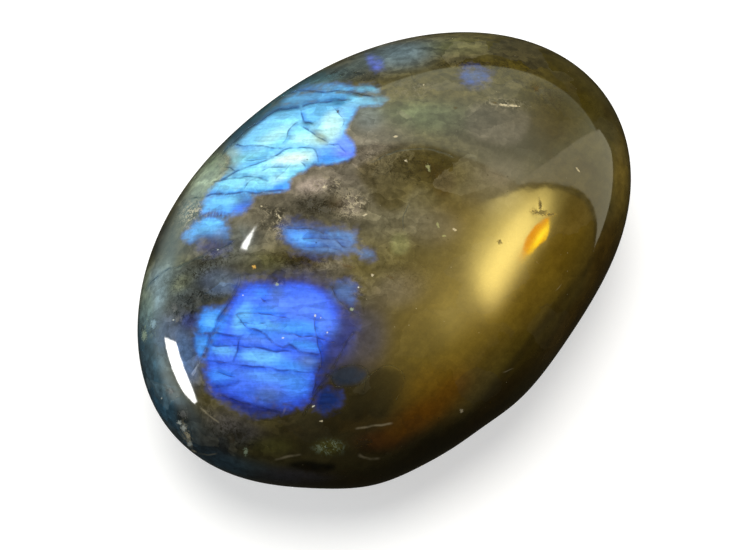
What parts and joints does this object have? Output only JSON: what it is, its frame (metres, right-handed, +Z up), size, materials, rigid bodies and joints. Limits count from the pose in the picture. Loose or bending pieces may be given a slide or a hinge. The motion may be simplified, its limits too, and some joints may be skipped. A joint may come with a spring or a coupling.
{
  "type": "polished spectrolite pebble",
  "caption": "Palm stone of dark labradorite with a blue flash: a flattened egg with a small flat patch to rest on.",
  "frame": {"origin": "on the surface the stone lies on, under the middle of its box", "axes": "+X along the stone's long way, +Y along its width, +Z up"},
  "size_m": [0.065, 0.0456, 0.025],
  "materials": {
    "spectrolite": "polished"
  },
  "bodies": {
    "root": {"pebble": "spectrolite"}
  },
  "joints": []
}
